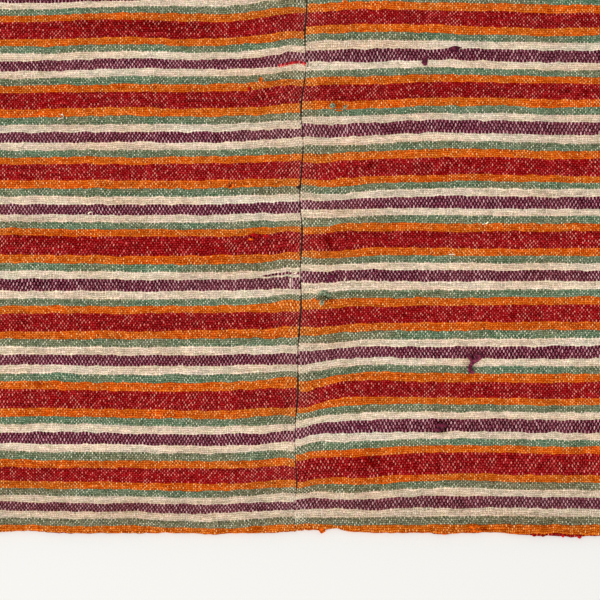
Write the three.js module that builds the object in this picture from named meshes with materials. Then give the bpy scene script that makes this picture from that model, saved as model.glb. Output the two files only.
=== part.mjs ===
import * as THREE from "three";

// A carrying cloth of two loom widths joined edge to edge, spread flat with its right side up.
// Sizes are millimetres. X runs across the cloth from the seam, Y up it from the lower hem, Z up.
const panelWidth = 220; // from the seam to the outer selvedge
const clothLength = 359; // from fold to fold of the two hems
const clothThickness = 1.4;
const hemDepth = 10; // how far each hem is turned under
const restLift = clothThickness / 2; // the middle of the cloth where it lies on the surface
const layerGap = 0.3; // between the turned layer and the cloth above it
const hemSlope = 20; // the cloth comes down over this length beside the turned layer
const slopeMargin = 1; // it starts down this far past the raw edge
const reliefFade = 25; // ridges die out over this length beside a hem
const leastRidge = 0.05; // what would stand off less than this lies flat

// How finely each stretch is divided
const foldSteps = 4;
const slopeSteps = 3;
const bodySteps = 30;
const acrossSteps = 20;

// The seam as it wanders up the cloth, and the groove between the two selvedges
const seamLine = [
  { up: 0, across: -1.7, gap: 0.5 },
  { up: 14, across: -3.3, gap: 0.4 },
  { up: 30, across: -1.8, gap: 0.8 },
  { up: 60, across: -2.7, gap: 0.5 },
  { up: 80, across: -1.2, gap: 0.9 },
  { up: 104, across: -1.1, gap: 1.2 },
  { up: 130, across: 0.6, gap: 0.8 },
  { up: 152, across: 0.4, gap: 0.6 },
  { up: 171, across: 1.2, gap: 1.5 },
  { up: 187, across: 0.0, gap: 1.1 },
  { up: 221, across: 1.7, gap: 0.8 },
  { up: 238, across: 0.6, gap: 0.7 },
  { up: 262, across: 3.3, gap: 0.9 },
  { up: 280, across: 2.8, gap: 0.8 },
  { up: 298, across: 3.9, gap: 0.6 },
  { up: 328, across: 2.4, gap: 0.8 },
  { up: 359, across: 2.9, gap: 0.6 },
];

// The lower hem's fold, uneven along its length
const lowerHem = [
  { across: -220, up: 2.6 },
  { across: -190, up: 3.2 },
  { across: -150, up: 4.3 },
  { across: -125, up: 2.8 },
  { across: -56, up: 2.1 },
  { across: -8, up: 3.9 },
  { across: 9, up: 4.3 },
  { across: 18, up: 5.8 },
  { across: 34, up: 3.4 },
  { across: 78, up: 2.3 },
  { across: 125, up: 2.6 },
  { across: 136, up: 1.2 },
  { across: 154, up: 0.4 },
  { across: 190, up: 1.4 },
  { across: 220, up: 2.2 },
];

// The upper hem's fold, as its distance below the full length
const upperHem = [
  { across: -220, below: 1.4 },
  { across: -160, below: 0.4 },
  { across: -90, below: 2.0 },
  { across: -30, below: 2.6 },
  { across: 0, below: 3.4 },
  { across: 40, below: 1.8 },
  { across: 110, below: 0.6 },
  { across: 170, below: 2.2 },
  { across: 220, below: 1.2 },
];

// How far the two outer selvedges draw in
const outerEdge = [
  { up: 0, leftInset: 1.0, rightInset: 0.3 },
  { up: 60, leftInset: 2.2, rightInset: 1.6 },
  { up: 130, leftInset: 0.4, rightInset: 2.4 },
  { up: 210, leftInset: 1.8, rightInset: 0.6 },
  { up: 290, leftInset: 0.6, rightInset: 2.0 },
  { up: 359, leftInset: 1.5, rightInset: 0.8 },
];

// The cockling: soft ridges where the cloth stands off the surface. Turn is degrees from X.
const ridges = [
  { across: 26, up: 62, length: 110, width: 40, turn: 82, height: 1.9 },
  { across: -32, up: 60, length: 90, width: 44, turn: 104, height: 1.6 },
  { across: -20, up: 262, length: 150, width: 46, turn: 16, height: 1.5 },
  { across: 34, up: 236, length: 120, width: 42, turn: 98, height: 1.3 },
  { across: -112, up: 150, length: 190, width: 46, turn: 4, height: 1.2 },
  { across: 118, up: 128, length: 180, width: 44, turn: -3, height: 1.3 },
  { across: -160, up: 262, length: 120, width: 50, turn: 74, height: 1.4 },
  { across: 150, up: 268, length: 150, width: 48, turn: 8, height: 1.3 },
  { across: -150, up: 62, length: 130, width: 44, turn: -6, height: 1.3 },
  { across: 128, up: 52, length: 110, width: 40, turn: 70, height: 1.4 },
  { across: -72, up: 312, length: 130, width: 40, turn: -4, height: 1.2 },
  { across: 196, up: 190, length: 110, width: 46, turn: 84, height: 1.6 },
  { across: -204, up: 170, length: 120, width: 44, turn: 96, height: 1.5 },
];

const panels = [
  { name: "left_panel", side: -1, colour: 0x9a5a3f },
  { name: "right_panel", side: 1, colour: 0x98573e },
];

// One column of a table, eased from row to row.
function readTable(rows, place, column, at) {
  const next = rows.findIndex((row) => row[place] >= at);
  if (next === 0) return rows[0][column];
  if (next < 0) return rows[rows.length - 1][column];
  const before = rows[next - 1];
  const after = rows[next];
  const share = THREE.MathUtils.smoothstep(at, before[place], after[place]);
  return THREE.MathUtils.lerp(before[column], after[column], share);
}

// A ridge is highest along its middle and ends at its own length and width.
function ridgeHeight(ridge, across, up) {
  const turn = THREE.MathUtils.degToRad(ridge.turn);
  const fromX = across - ridge.across;
  const fromY = up - ridge.up;
  const along = (fromX * Math.cos(turn) + fromY * Math.sin(turn)) / ridge.length;
  const beside = (fromY * Math.cos(turn) - fromX * Math.sin(turn)) / ridge.width;
  if (Math.abs(along) > 0.5 || Math.abs(beside) > 0.5) return 0;
  return ridge.height * (Math.cos(Math.PI * along) * Math.cos(Math.PI * beside)) ** 2;
}

// How far the cloth stands off the surface at a place, never below it.
function reliefAt(across, up) {
  const fromHem = Math.min(up, clothLength - up) - hemDepth;
  const fade = THREE.MathUtils.smoothstep(fromHem, 0, reliefFade);
  const height = ridges.reduce((sum, ridge) => sum + ridgeHeight(ridge, across, up), 0);
  return Math.max(fade * height - leastRidge, 0);
}

// A turned hem in section, from its raw edge round the fold to where the cloth lies flat again.
// Inward is measured from the fold, and lift from the surface to the middle of the cloth.
// The normals point out of the cloth's right side, which faces down where it is turned under.
function hemSection() {
  const foldRadius = (clothThickness + layerGap) / 2;
  const foldCentre = foldRadius + clothThickness / 2;
  const highLift = restLift + 2 * foldRadius;
  const turned = { lift: restLift, normalIn: 0, normalLift: -1 };
  const points = [
    { inward: hemDepth, ...turned },
    { inward: (hemDepth + foldCentre) / 2, ...turned },
  ];
  for (let step = 0; step <= foldSteps; step++) {
    const angle = -Math.PI / 2 - (Math.PI * step) / foldSteps;
    const normalIn = Math.cos(angle);
    const normalLift = Math.sin(angle);
    points.push({
      inward: foldCentre + foldRadius * normalIn,
      lift: restLift + foldRadius * (1 + normalLift),
      normalIn,
      normalLift,
    });
  }
  for (let step = 0; step <= slopeSteps; step++) {
    const share = step / slopeSteps;
    const eased = THREE.MathUtils.smoothstep(share, 0, 1);
    const fall = ((highLift - restLift) * 6 * share * (1 - share)) / hemSlope;
    const size = Math.hypot(1, fall);
    points.push({
      inward: hemDepth + slopeMargin + share * hemSlope,
      lift: THREE.MathUtils.lerp(highLift, restLift, eased),
      normalIn: fall / size,
      normalLift: 1 / size,
    });
  }
  return points;
}

// All the rows of the cloth from the lower raw edge to the upper one.
// A body row has a share of the way between the two hems in place of a distance from one.
function clothRows() {
  const section = hemSection();
  const lower = section.map((point) => ({ ...point, from: "lower" }));
  const upper = section.map((point) => ({ ...point, from: "upper" })).reverse();
  const body = [];
  for (let step = 1; step < bodySteps; step++) {
    body.push({ from: "body", share: step / bodySteps, lift: restLift });
  }
  return [...lower, ...body, ...upper];
}

const rows = clothRows();
const hemReach = hemDepth + slopeMargin + hemSlope;

// Where the middle of the cloth lies for one row, at one place across, and its normal.
function rowPoint(row, across) {
  const lowerFold = readTable(lowerHem, "across", "up", across);
  const upperFold = clothLength - readTable(upperHem, "across", "below", across);
  if (row.from === "lower") {
    return { up: lowerFold + row.inward, outUp: row.normalIn, outLift: row.normalLift };
  }
  if (row.from === "upper") {
    return { up: upperFold - row.inward, outUp: -row.normalIn, outLift: row.normalLift };
  }
  const up = THREE.MathUtils.lerp(lowerFold + hemReach, upperFold - hemReach, row.share);
  return { up, outUp: 0, outLift: 1 };
}

// The panel's two long edges at a height up the cloth, from its left to its right.
function panelEdges(side, up) {
  const seam = readTable(seamLine, "up", "across", up);
  const halfGap = readTable(seamLine, "up", "gap", up) / 2;
  const inset = readTable(outerEdge, "up", side < 0 ? "leftInset" : "rightInset", up);
  return side < 0
    ? [inset - panelWidth, seam - halfGap]
    : [seam + halfGap, panelWidth - inset];
}

// A flat length of cloth, bent row by row into its hems, outline and cockling.
function makePanel({ name, side, colour }) {
  const geometry = new THREE.BoxGeometry(
    1,
    rows.length - 1,
    clothThickness,
    acrossSteps,
    rows.length - 1,
    1,
  );
  const position = geometry.getAttribute("position");
  for (let index = 0; index < position.count; index++) {
    const share = position.getX(index) + 0.5;
    const row = rows[Math.round(position.getY(index) + (rows.length - 1) / 2)];
    const offset = position.getZ(index);
    const roughAcross = side * panelWidth * (side < 0 ? 1 - share : share);
    const roughUp = rowPoint(row, roughAcross).up;
    const [from, to] = panelEdges(side, roughUp);
    const across = THREE.MathUtils.lerp(from, to, share);
    const middle = rowPoint(row, across);
    position.setXYZ(
      index,
      across,
      middle.up + offset * middle.outUp,
      row.lift + reliefAt(across, middle.up) + offset * middle.outLift,
    );
  }
  geometry.computeVertexNormals();
  const material = new THREE.MeshStandardMaterial({ color: colour, roughness: 0.95, metalness: 0 });
  const mesh = new THREE.Mesh(geometry, material);
  mesh.name = name;
  return mesh;
}

const cloth = new THREE.Group();
for (const panel of panels) cloth.add(makePanel(panel));

// The origin is the middle of the cloth's outline, on the surface it lies on.
const outline = new THREE.Box3().setFromObject(cloth, true);
const centre = outline.getCenter(new THREE.Vector3());
cloth.position.set(-centre.x, -centre.y, -outline.min.z);

export default cloth;
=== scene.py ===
import math
import random

import bpy
import numpy as np
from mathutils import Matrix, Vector


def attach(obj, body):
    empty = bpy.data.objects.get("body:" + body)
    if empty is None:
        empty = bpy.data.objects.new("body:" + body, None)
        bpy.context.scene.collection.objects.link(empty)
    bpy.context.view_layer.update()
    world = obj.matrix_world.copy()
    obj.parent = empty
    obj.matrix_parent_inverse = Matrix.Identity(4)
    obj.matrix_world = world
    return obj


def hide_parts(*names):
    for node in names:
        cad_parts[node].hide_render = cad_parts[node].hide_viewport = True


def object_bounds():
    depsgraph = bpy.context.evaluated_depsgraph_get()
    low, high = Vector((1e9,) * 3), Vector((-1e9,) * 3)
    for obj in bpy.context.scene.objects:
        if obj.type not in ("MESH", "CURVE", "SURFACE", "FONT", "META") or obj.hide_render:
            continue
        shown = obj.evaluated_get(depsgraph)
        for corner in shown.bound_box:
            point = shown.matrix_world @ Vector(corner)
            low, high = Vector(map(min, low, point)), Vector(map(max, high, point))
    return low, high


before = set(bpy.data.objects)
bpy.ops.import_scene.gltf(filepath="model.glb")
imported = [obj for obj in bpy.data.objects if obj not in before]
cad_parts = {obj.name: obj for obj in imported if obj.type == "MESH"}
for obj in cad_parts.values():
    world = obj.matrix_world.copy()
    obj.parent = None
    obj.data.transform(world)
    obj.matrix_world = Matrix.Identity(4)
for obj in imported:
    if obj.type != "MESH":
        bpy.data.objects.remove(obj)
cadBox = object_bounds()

mm = 0.001  # every size below is in millimetres, measured across from the seam and up from the lower hem
cadLow, cadHigh = cadBox


# Arithmetic on sockets: each expression adds its own Math node
class Wire:
    def __init__(self, finish, socket):
        self.finish = finish
        self.socket = socket

    def maths(self, operation, *others, clamp=False):
        settings = {"operation": operation, "use_clamp": clamp}
        return self.finish.add("Math", settings, dict(enumerate((self, *others))))

    def __add__(self, other):
        return self.maths("ADD", other)

    def __sub__(self, other):
        return self.maths("SUBTRACT", other)

    def __rsub__(self, other):
        return self.maths("MULTIPLY_ADD", -1.0, other)

    def __mul__(self, other):
        return self.maths("MULTIPLY", other)

    def __truediv__(self, other):
        return self.maths("DIVIDE", other)

    def __gt__(self, other):
        return self.maths("GREATER_THAN", other)

    def __lt__(self, other):
        return self.maths("LESS_THAN", other)

    __radd__ = __add__
    __rmul__ = __mul__


# One material and the nodes in it
class Finish:
    def __init__(self, name):
        self.material = bpy.data.materials.new(name)
        self.material.use_nodes = True
        self.tree = self.material.node_tree
        self.shader = self.tree.nodes["Principled BSDF"]

    def add(self, kind, settings=None, sockets=None, output=0, second=None):
        node = self.tree.nodes.new("ShaderNode" + kind)
        for name, value in (settings or {}).items():
            if name == "stops":
                self.fillRamp(node.color_ramp, value)
            else:
                setattr(node, name, value)
        for name, value in (sockets or {}).items():
            self.feed(node.inputs[name], value)
        if second is None:
            return Wire(self, node.outputs[output])
        return Wire(self, node.outputs[output]), Wire(self, node.outputs[second])

    def feed(self, socket, value):
        if isinstance(value, Wire):
            self.tree.links.new(value.socket, socket)
        elif socket.type == "VECTOR":
            socket.default_value = value[:3]
        else:
            socket.default_value = value

    def fillRamp(self, ramp, stops):
        ramp.interpolation = "CONSTANT"
        while len(ramp.elements) < len(stops):
            ramp.elements.new(1.0)
        for element, (position, colour) in zip(ramp.elements, stops):
            element.position = position
            element.color = colour

    def mix(self, share, first, second, blend="MIX"):
        settings = {"data_type": "RGBA", "blend_type": blend, "clamp_factor": True}
        return self.add("Mix", settings, {0: share, 6: first, 7: second}, output=2)

    def shade(self, colour, amount):
        return self.add("VectorMath", {"operation": "SCALE"}, {0: colour, "Scale": amount})

    def blend(self, operation, colour, other):
        return self.add("VectorMath", {"operation": operation}, {0: colour, 1: other})

    def pair(self, first, second):
        return self.add("CombineXYZ", None, {"X": first, "Y": second})

    def noise(self, place, detail=2.0):
        return self.add("TexNoise", {"noise_dimensions": "2D"}, {"Vector": place, "Scale": 1.0, "Detail": detail})

    def chance(self, place):
        return self.add("TexWhiteNoise", {"noise_dimensions": "2D"}, {"Vector": place}, output=0)

    def between(self, value, low, high, newLow, newHigh):
        sockets = {"Value": value, "From Min": low, "From Max": high, "To Min": newLow, "To Max": newHigh}
        return self.add("MapRange", {"clamp": True, "interpolation_type": "SMOOTHSTEP"}, sockets)

    def surface(self, colour, height, roughness, bump, sheen):
        self.feed(self.shader.inputs["Base Color"], colour)
        relief = {"Height": height, "Strength": bump["strength"], "Distance": bump["depth"] * mm}
        self.feed(self.shader.inputs["Normal"], self.add("Bump", None, relief))
        self.shader.inputs["Roughness"].default_value = roughness
        self.shader.inputs["Specular IOR Level"].default_value = 0.03
        self.shader.inputs["Sheen Weight"].default_value = sheen
        self.shader.inputs["Sheen Roughness"].default_value = 0.5


def linear(red, green, blue):
    # a colour as the eye sees it, 0 to 255, turned into light
    parts = [value / 255 for value in (red, green, blue)]
    return (*[p / 12.92 if p <= 0.04045 else ((p + 0.055) / 1.055) ** 2.4 for p in parts], 1.0)


def deselectAll():
    bpy.ops.object.select_all(action="DESELECT")


def makeActive(piece):
    deselectAll()
    piece.select_set(True)
    bpy.context.view_layer.objects.active = piece


# A smooth line through a short table's column, flat beyond its ends
def curveThrough(places, values, at):
    places = np.asarray(places, float)
    values = np.asarray(values, float)
    slopes = np.gradient(values, places)
    slopes[0] = slopes[-1] = 0.0
    at = np.clip(at, places[0], places[-1])
    after = np.clip(np.searchsorted(places, at), 1, len(places) - 1)
    span = places[after] - places[after - 1]
    s = (at - places[after - 1]) / span
    return (
        values[after - 1] * (1 + 2 * s) * (1 - s) ** 2
        + slopes[after - 1] * span * s * (1 - s) ** 2
        + values[after] * s**2 * (3 - 2 * s)
        + slopes[after] * span * s**2 * (s - 1)
    )


def readTable(rows, place, column, at):
    return curveThrough([row[place] for row in rows], [row[column] for row in rows], at)


# Soft bumps from -1 to 1, about one to each cell
def softNoise(x, y, cellX, cellY, seed):
    lattice = np.random.default_rng(seed).uniform(-1, 1, (97, 97))
    u, v = np.broadcast_arrays(np.asarray(x) / cellX + 40.0, np.asarray(y) / cellY + 20.0)
    i, j = np.floor(u).astype(int), np.floor(v).astype(int)
    p, q = u - i, v - j
    p, q = p * p * (3 - 2 * p), q * q * (3 - 2 * q)
    low = lattice[i % 97, j % 97] * (1 - p) + lattice[(i + 1) % 97, j % 97] * p
    high = lattice[i % 97, (j + 1) % 97] * (1 - p) + lattice[(i + 1) % 97, (j + 1) % 97] * p
    return low * (1 - q) + high * q


# The cloth as a whole
cloth = {
    "panelWidth": 220,
    "length": 359,
    "thickness": 1.4,
    "hemDepth": 10,
    "layerGap": 0.3,
    "hemSlope": 20,
    "slopeMargin": 1,
    "reliefFade": 25,
    "leastRidge": 0.05,
}

# The seam as it wanders up the cloth, and the groove between the two selvedges
seamLine = [
    {"up": 0, "across": -1.7, "gap": 0.1},
    {"up": 14, "across": -3.3, "gap": 0.1},
    {"up": 30, "across": -1.8, "gap": 0.2},
    {"up": 46, "across": -2.6, "gap": 0.15},
    {"up": 60, "across": -2.7, "gap": 0.35},
    {"up": 80, "across": -1.2, "gap": 0.55},
    {"up": 104, "across": -1.1, "gap": 0.5},
    {"up": 130, "across": 0.6, "gap": 0.6},
    {"up": 152, "across": 0.4, "gap": 0.4},
    {"up": 171, "across": 1.2, "gap": 0.6},
    {"up": 187, "across": 0.0, "gap": 0.5},
    {"up": 221, "across": 1.7, "gap": 0.45},
    {"up": 238, "across": 0.6, "gap": 0.5},
    {"up": 262, "across": 3.3, "gap": 0.3},
    {"up": 280, "across": 2.8, "gap": 0.55},
    {"up": 298, "across": 3.9, "gap": 0.5},
    {"up": 328, "across": 2.4, "gap": 0.4},
    {"up": 359, "across": 2.9, "gap": 0.3},
]

# The lower hem's fold
lowerHem = [
    {"across": -220, "up": 2.6},
    {"across": -190, "up": 3.2},
    {"across": -166, "up": 3.7},
    {"across": -150, "up": 4.4},
    {"across": -138, "up": 3.5},
    {"across": -125, "up": 3.1},
    {"across": -104, "up": 3.2},
    {"across": -89, "up": 3.0},
    {"across": -73, "up": 3.4},
    {"across": -50, "up": 2.6},
    {"across": -30, "up": 3.2},
    {"across": -12, "up": 3.4},
    {"across": 2, "up": 4.5},
    {"across": 9, "up": 4.8},
    {"across": 12, "up": 4.4},
    {"across": 15, "up": 5.4},
    {"across": 18, "up": 6.0},
    {"across": 24, "up": 4.8},
    {"across": 34, "up": 3.8},
    {"across": 55, "up": 3.3},
    {"across": 64, "up": 3.5},
    {"across": 80, "up": 2.7},
    {"across": 92, "up": 3.1},
    {"across": 104, "up": 3.4},
    {"across": 121, "up": 2.7},
    {"across": 130, "up": 1.7},
    {"across": 143, "up": 1.5},
    {"across": 152, "up": 1.0},
    {"across": 164, "up": 1.7},
    {"across": 190, "up": 1.4},
    {"across": 220, "up": 2.2},
]

# The upper hem's fold, as its distance below the full length
upperHem = [
    {"across": -220, "below": 1.4},
    {"across": -160, "below": 0.4},
    {"across": -90, "below": 2.0},
    {"across": -30, "below": 2.6},
    {"across": 0, "below": 3.4},
    {"across": 40, "below": 1.8},
    {"across": 110, "below": 0.6},
    {"across": 170, "below": 2.2},
    {"across": 220, "below": 1.2},
]

# How far the two outer selvedges draw in
outerEdge = [
    {"up": 0, "left": 1.0, "right": 0.3},
    {"up": 60, "left": 2.2, "right": 1.6},
    {"up": 130, "left": 0.4, "right": 2.4},
    {"up": 210, "left": 1.8, "right": 0.6},
    {"up": 290, "left": 0.6, "right": 2.0},
    {"up": 359, "left": 1.5, "right": 0.8},
]

# Cockling: soft ridges where the cloth stands off the surface, turned from X in degrees
ridges = [
    {"across": 26, "up": 62, "length": 110, "width": 40, "turn": 82, "height": 1.9},
    {"across": -32, "up": 60, "length": 90, "width": 44, "turn": 104, "height": 1.6},
    {"across": -20, "up": 262, "length": 150, "width": 46, "turn": 16, "height": 1.5},
    {"across": 34, "up": 236, "length": 120, "width": 42, "turn": 98, "height": 1.3},
    {"across": -112, "up": 150, "length": 190, "width": 46, "turn": 4, "height": 1.2},
    {"across": 118, "up": 128, "length": 180, "width": 44, "turn": -3, "height": 1.3},
    {"across": -160, "up": 262, "length": 120, "width": 50, "turn": 74, "height": 1.4},
    {"across": 150, "up": 268, "length": 150, "width": 48, "turn": 8, "height": 1.3},
    {"across": -150, "up": 62, "length": 130, "width": 44, "turn": -6, "height": 1.3},
    {"across": 128, "up": 52, "length": 110, "width": 40, "turn": 70, "height": 1.4},
    {"across": -72, "up": 312, "length": 130, "width": 40, "turn": -4, "height": 1.2},
    {"across": 196, "up": 190, "length": 110, "width": 46, "turn": 84, "height": 1.6},
    {"across": -204, "up": 170, "length": 120, "width": 44, "turn": 96, "height": 1.5},
]

# Weft yarns in the order of one repeat, from the lower hem up: how many picks, mm to each, and
# their colours fresh and faded, 0 to 255 as the eye sees them
stripeOrder = ["orange", "green", "white", "purple", "white", "green", "orange", "red"]
yarns = {
    "orange": {"picks": 4, "pitch": 1.06, "colour": (219, 92, 10), "faded": (205, 102, 24), "dot": (254, 188, 116)},
    "green": {"picks": 4, "pitch": 0.985, "colour": (101, 132, 105), "faded": (128, 122, 94), "dot": (220, 216, 188)},
    "white": {"picks": 4, "pitch": 1.06, "colour": (240, 218, 193), "faded": (235, 209, 181), "dot": (245, 228, 203)},
    "purple": {"picks": 4, "pitch": 1.44, "colour": (91, 27, 48), "faded": (107, 54, 62), "dot": (224, 174, 177)},
    "red": {"picks": 8, "pitch": 1.11, "colour": (154, 9, 17), "faded": (146, 17, 25), "dot": (232, 140, 124)},
}
yarns["purple"]["tall"] = 0.68
yarns["purple"]["steady"] = 0.4
# how strongly each yarn takes the fibres' grain and the painted shade in its furrows and pits
yarns["purple"]["grainAndShade"] = 0.75
yarns["white"]["grainAndShade"] = 1.15
repeatPicks = sum(yarns[name]["picks"] for name in stripeOrder)
picksToRed = repeatPicks - yarns["red"]["picks"] // 2  # from the start of a repeat to the middle of its red

# The height up the cloth of each red stripe's middle, at ten places across
stripePlaces = {
    "leftFar": -165.6, "leftMid": -98.9, "leftNear": -32.2, "leftClose": -18.9, "leftSeam": -5.6,
    "rightSeam": 2.2, "rightClose": 8.9, "rightNear": 28.9, "rightMid": 68.9, "rightFar": 162.2,
}
redStripes = [
    dict(zip(stripePlaces, heights))
    for heights in (
        (0.1, -0.5, -1.6, -0.5, -0.6, -0.6, -1.0, -1.4, -1.6, -2.1),
        (35.5, 35.0, 34.8, 35.3, 36.3, 37.4, 38.7, 38.9, 41.8, 41.0),
        (77.7, 76.6, 76.7, 77.7, 78.4, 77.4, 79.0, 82.5, 82.2, 81.7),
        (120.1, 120.2, 121.2, 121.0, 123.1, 122.4, 122.1, 123.8, 124.4, 125.2),
        (163.3, 162.3, 163.1, 164.2, 165.5, 164.7, 165.0, 166.0, 165.5, 165.7),
        (203.8, 203.8, 204.5, 205.0, 205.5, 205.4, 204.9, 204.9, 206.7, 206.0),
        (242.8, 244.2, 244.2, 245.0, 247.0, 247.6, 247.8, 247.7, 249.6, 248.4),
        (281.6, 283.2, 283.3, 285.3, 287.2, 288.2, 288.9, 290.1, 289.4, 287.4),
        (322.6, 324.0, 323.7, 325.5, 327.3, 329.0, 329.3, 330.4, 330.7, 328.7),
        (363.7, 365.1, 364.8, 366.6, 368.4, 370.1, 370.4, 371.5, 371.8, 369.8),
    )
]

# How far each purple stripe lies above the middle of its two reds
purpleShifts = {
    "left": [0.1, -0.6, 0.2, -1.0, -0.7, -0.6, 0.3, 0.3, 0.0],
    "leftSeam": [0.8, -1.2, -0.5, -1.8, -0.3, 0.8, -1.6, 0.0, 0.0],  # and how much more at the seam
    "right": [0.2, 1.2, -0.1, 0.5, 0.8, 0.7, -0.7, -0.3, 0.2],
    "rightSeam": [-0.8, 0.0, 0.0, 1.2, 0.0, 0.0, 0.0, 0.0, 0.0],
    "reach": 20,
}

# Stripe edges beside the seam that lie off their even places: by the pick where each starts in its
# repeat, how far up it moves
edgeShifts = [
    {"across": -135, "reach": 65, "repeat": 7, "ups": {16: -1.8, 12: -2.3, 8: -1.6, 4: -1.1}},
    {"across": -6, "reach": 12, "repeat": 7, "ups": {4: -1.6}},
    {"across": -6, "reach": 12, "repeat": 6, "ups": {16: 1.0, 12: 0.3, 8: 0.5, 4: -0.5, 0: 0.5}},
    {"across": -6, "reach": 12, "repeat": 5, "ups": {28: -1.1, 24: -1.7, 20: -1.2, 16: -1.6, 12: -0.6, 8: -1.1, 4: -0.5}},
    {"across": -6, "reach": 12, "repeat": 4, "ups": {28: -1.1, 24: -1.1, 20: -1.1, 16: -0.6, 12: -1.2, 8: -1.6, 4: -1.1}},
    {"across": -6, "reach": 12, "repeat": 3, "ups": {28: -1.1, 24: 0.5, 20: 0.5, 12: -0.5, 8: 0.5, 4: 1.1, 0: -1.6}},
    {"across": -6, "reach": 12, "repeat": 2, "ups": {24: -1.7, 20: -1.2, 16: -1.1, 12: -1.1, 4: 1.1, 0: -0.5}},
    {"across": -6, "reach": 12, "repeat": 1, "ups": {28: -0.5, 24: 0.5, 16: 0.5, 12: 1.1, 8: 0.5, 4: 0.5}},
    {"across": -6, "reach": 12, "repeat": 0, "ups": {20: 1.1, 16: -0.5}},
    {"across": -19, "reach": 9, "repeat": 6, "ups": {24: -0.9, 12: -0.9, 4: 1.0, 0: 1.4}},
    {"across": -19, "reach": 9, "repeat": 3, "ups": {28: -1.0}},
    {"across": -19, "reach": 9, "repeat": 1, "ups": {20: -0.9, 16: -1.0, 12: -1.0}},
    {"across": 7, "reach": 12, "repeat": 6, "ups": {24: 0.6, 20: 1.1, 12: 0.5, 8: -0.5, 0: -0.5}},
    {"across": 7, "reach": 12, "repeat": 5, "ups": {16: -0.5, 12: -0.5, 8: -0.5, 4: -1.1, 0: -1.5}},
    {"across": 7, "reach": 12, "repeat": 4, "ups": {28: -1.5, 24: -0.6, 20: -0.8, 16: -1.1, 12: 0.5, 4: -1.5, 0: -0.5}},
    {"across": 7, "reach": 12, "repeat": 3, "ups": {12: 0.5, 4: 1.0}},
    {"across": 7, "reach": 12, "repeat": 2, "ups": {24: -0.5, 20: 0.8, 16: 1.1, 4: -0.5, 0: -1.5}},
    {"across": 7, "reach": 12, "repeat": 1, "ups": {28: -1.5, 24: -0.6, 12: 0.4, 8: 1.0}},
    {"across": 7, "reach": 12, "repeat": 0, "ups": {28: -0.5, 20: 0.5, 16: 1.1, 12: 0.5, 8: 0.5, 4: 1.0}},
    {"across": 20, "reach": 16, "repeat": 4, "ups": {24: -1.2, 20: -1.6, 16: -0.8, 8: -0.8}},
    {"across": 20, "reach": 16, "repeat": 3, "ups": {28: -1.1, 24: -1.1, 20: -0.5}},
    {"across": 20, "reach": 12, "repeat": 2, "ups": {20: -1.6, 16: -0.5, 12: 0.8, 8: 0.5, 0: 1.2}},
    {"across": 20, "reach": 12, "repeat": 1, "ups": {28: 1.1, 24: 0.5, 12: 0.8}},
    {"across": 20, "reach": 12, "repeat": 0, "ups": {28: 0.9, 24: 1.0, 12: 0.8}},
]

# How deep each red and each purple stripe is
stripeDepths = {
    "left": {
        "red": [8.9, 8.0, 9.2, 9.1, 10.2, 8.3, 9.5, 9.5, 8.6, 9.0],
        "purple": [5.1, 5.6, 5.2, 6.0, 5.6, 5.7, 5.8, 5.5, 5.8],
    },
    "right": {
        "red": [8.9, 11.0, 8.7, 8.6, 8.7, 9.0, 8.5, 7.8, 9.0, 8.7],
        "purple": [5.7, 6.9, 6.0, 5.8, 6.1, 6.6, 6.6, 6.0, 5.8],
    },
}

# Thick places in the weft, where the picks spread
swellings = [
    {"across": 77.5, "up": 62.0, "wide": 12, "tall": 7, "spread": 1.3},
    {"across": 32.5, "up": 62.0, "wide": 8, "tall": 7, "spread": 0.8},
    {"across": 18.0, "up": 144.6, "wide": 11, "tall": 7, "spread": 0.8},
    {"across": 98.0, "up": 101.0, "wide": 9, "tall": 7, "spread": 0.8},
    {"across": 103.0, "up": 98.6, "wide": 16, "tall": 9, "spread": 0.4},
    {"across": -59.0, "up": 164.0, "wide": 13, "tall": 9, "spread": 0.6},
    {"across": 49.0, "up": 279.0, "wide": 14, "tall": 9, "spread": 0.5},
    {"across": -128.0, "up": 325.0, "wide": 15, "tall": 9, "spread": 0.7},
]

panels = {
    "left": {"side": -1, "node": "left_panel", "slot": "left_weave", "ends": 223, "seed": 3,
             "places": [name for name in stripePlaces if name.startswith("left")]},
    "right": {"side": 1, "node": "right_panel", "slot": "right_weave", "ends": 214, "seed": 11,
              "places": [name for name in stripePlaces if name.startswith("right")]},
}
originAcross = (cadLow.x / mm) + cloth["panelWidth"] - min(row["left"] for row in outerEdge)
originUp = 0.4 - cadLow.y / mm  # the lowest place of the fold is 0.4 up


def ridgeHeights(across, up):
    total = np.zeros(np.broadcast(across, up).shape)
    for ridge in ridges:
        turn = math.radians(ridge["turn"])
        fromX, fromY = across - ridge["across"], up - ridge["up"]
        along = (fromX * math.cos(turn) + fromY * math.sin(turn)) / ridge["length"]
        beside = (fromY * math.cos(turn) - fromX * math.sin(turn)) / ridge["width"]
        inside = (abs(along) < 0.5) & (abs(beside) < 0.5)
        total += inside * ridge["height"] * (np.cos(np.pi * along) * np.cos(np.pi * beside)) ** 2
    fromHem = (np.minimum(up, cloth["length"] - up) - cloth["hemDepth"]) / cloth["reliefFade"]
    fade = np.clip(fromHem, 0, 1)
    fade = fade * fade * (3 - 2 * fade)
    return np.maximum(fade * total - cloth["leastRidge"], 0), fade


# How far the cloth stands off its rest: cockling, finer ripples, and the small puckers of the sewing
def reliefAt(across, up):
    height, fade = ridgeHeights(across, up)
    ripple = 0.11 * (1 + softNoise(across, up, 17, 7, 21)) + 0.06 * (1 + softNoise(across, up, 5, 3, 22))
    fromSeam = abs(across - readTable(seamLine, "up", "across", up))
    wave = np.sin(2 * np.pi * up / 5.2 + 1.5 * softNoise(0 * up, up, 1, 14, 23))
    pucker = 0.14 * np.exp(-fromSeam / 7) * (1 + wave)
    return height + fade * (ripple + pucker)


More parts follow.
